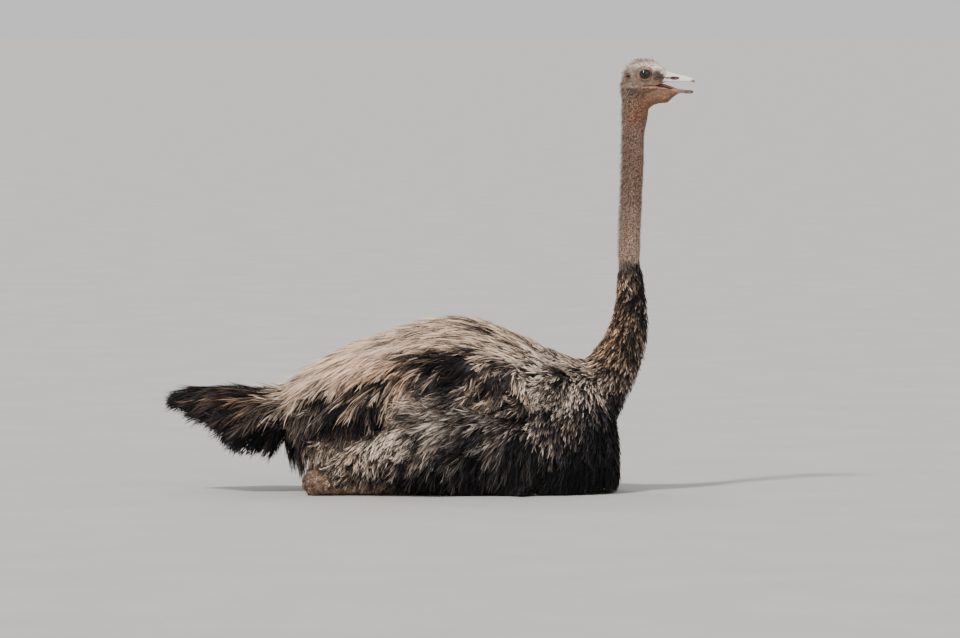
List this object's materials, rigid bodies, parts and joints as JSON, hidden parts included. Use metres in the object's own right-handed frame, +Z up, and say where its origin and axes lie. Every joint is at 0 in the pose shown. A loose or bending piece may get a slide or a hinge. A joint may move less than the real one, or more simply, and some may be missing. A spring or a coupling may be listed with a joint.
{
  "type": "sitting ostrich",
  "caption": "Still life-size ostrich hen sitting on its folded legs, neck upright, bill a little open, plumage to its tips.",
  "frame": {"origin": "on the floor under the middle of the bird's length, in its middle plane", "axes": "+X towards the bill, +Y towards the bird's left side, +Z up"},
  "size_m": [1.464, 0.5246, 1.2046],
  "materials": {
    "skin": "dry pinkish grey-brown skin under short pale bristly down",
    "plumage": "loose soft dull brown plumes with paler streaks and tips",
    "dark_plumage": "loose soft near-black plumes with brown tips",
    "horn": "satin pale horn with a pinkish cast",
    "claw": "satin dark horn",
    "scutes": "dry brown scaled skin with an orange cast",
    "eye": "wet gloss over a very dark brown iris"
  },
  "bodies": {
    "root": {"bill_lower": "horn", "bill_upper": "horn", "claw_inner_left": "claw", "claw_inner_right": "claw", "claw_outer_left": "claw", "claw_outer_right": "claw", "ear_left": "skin", "ear_right": "skin", "eye_left": "eye", "eye_right": "eye", "head": "skin", "jaw": "skin", "neck_lower": "dark_plumage", "neck_middle": "skin", "neck_upper": "skin", "shank_left": "scutes", "shank_right": "scutes", "tail": "dark_plumage", "thigh_left": "plumage", "thigh_right": "plumage", "toe_inner_left": "scutes", "toe_inner_right": "scutes", "toe_outer_left": "scutes", "toe_outer_right": "scutes", "trunk": "plumage", "wing_left": "plumage", "wing_right": "plumage"}
  },
  "joints": []
}
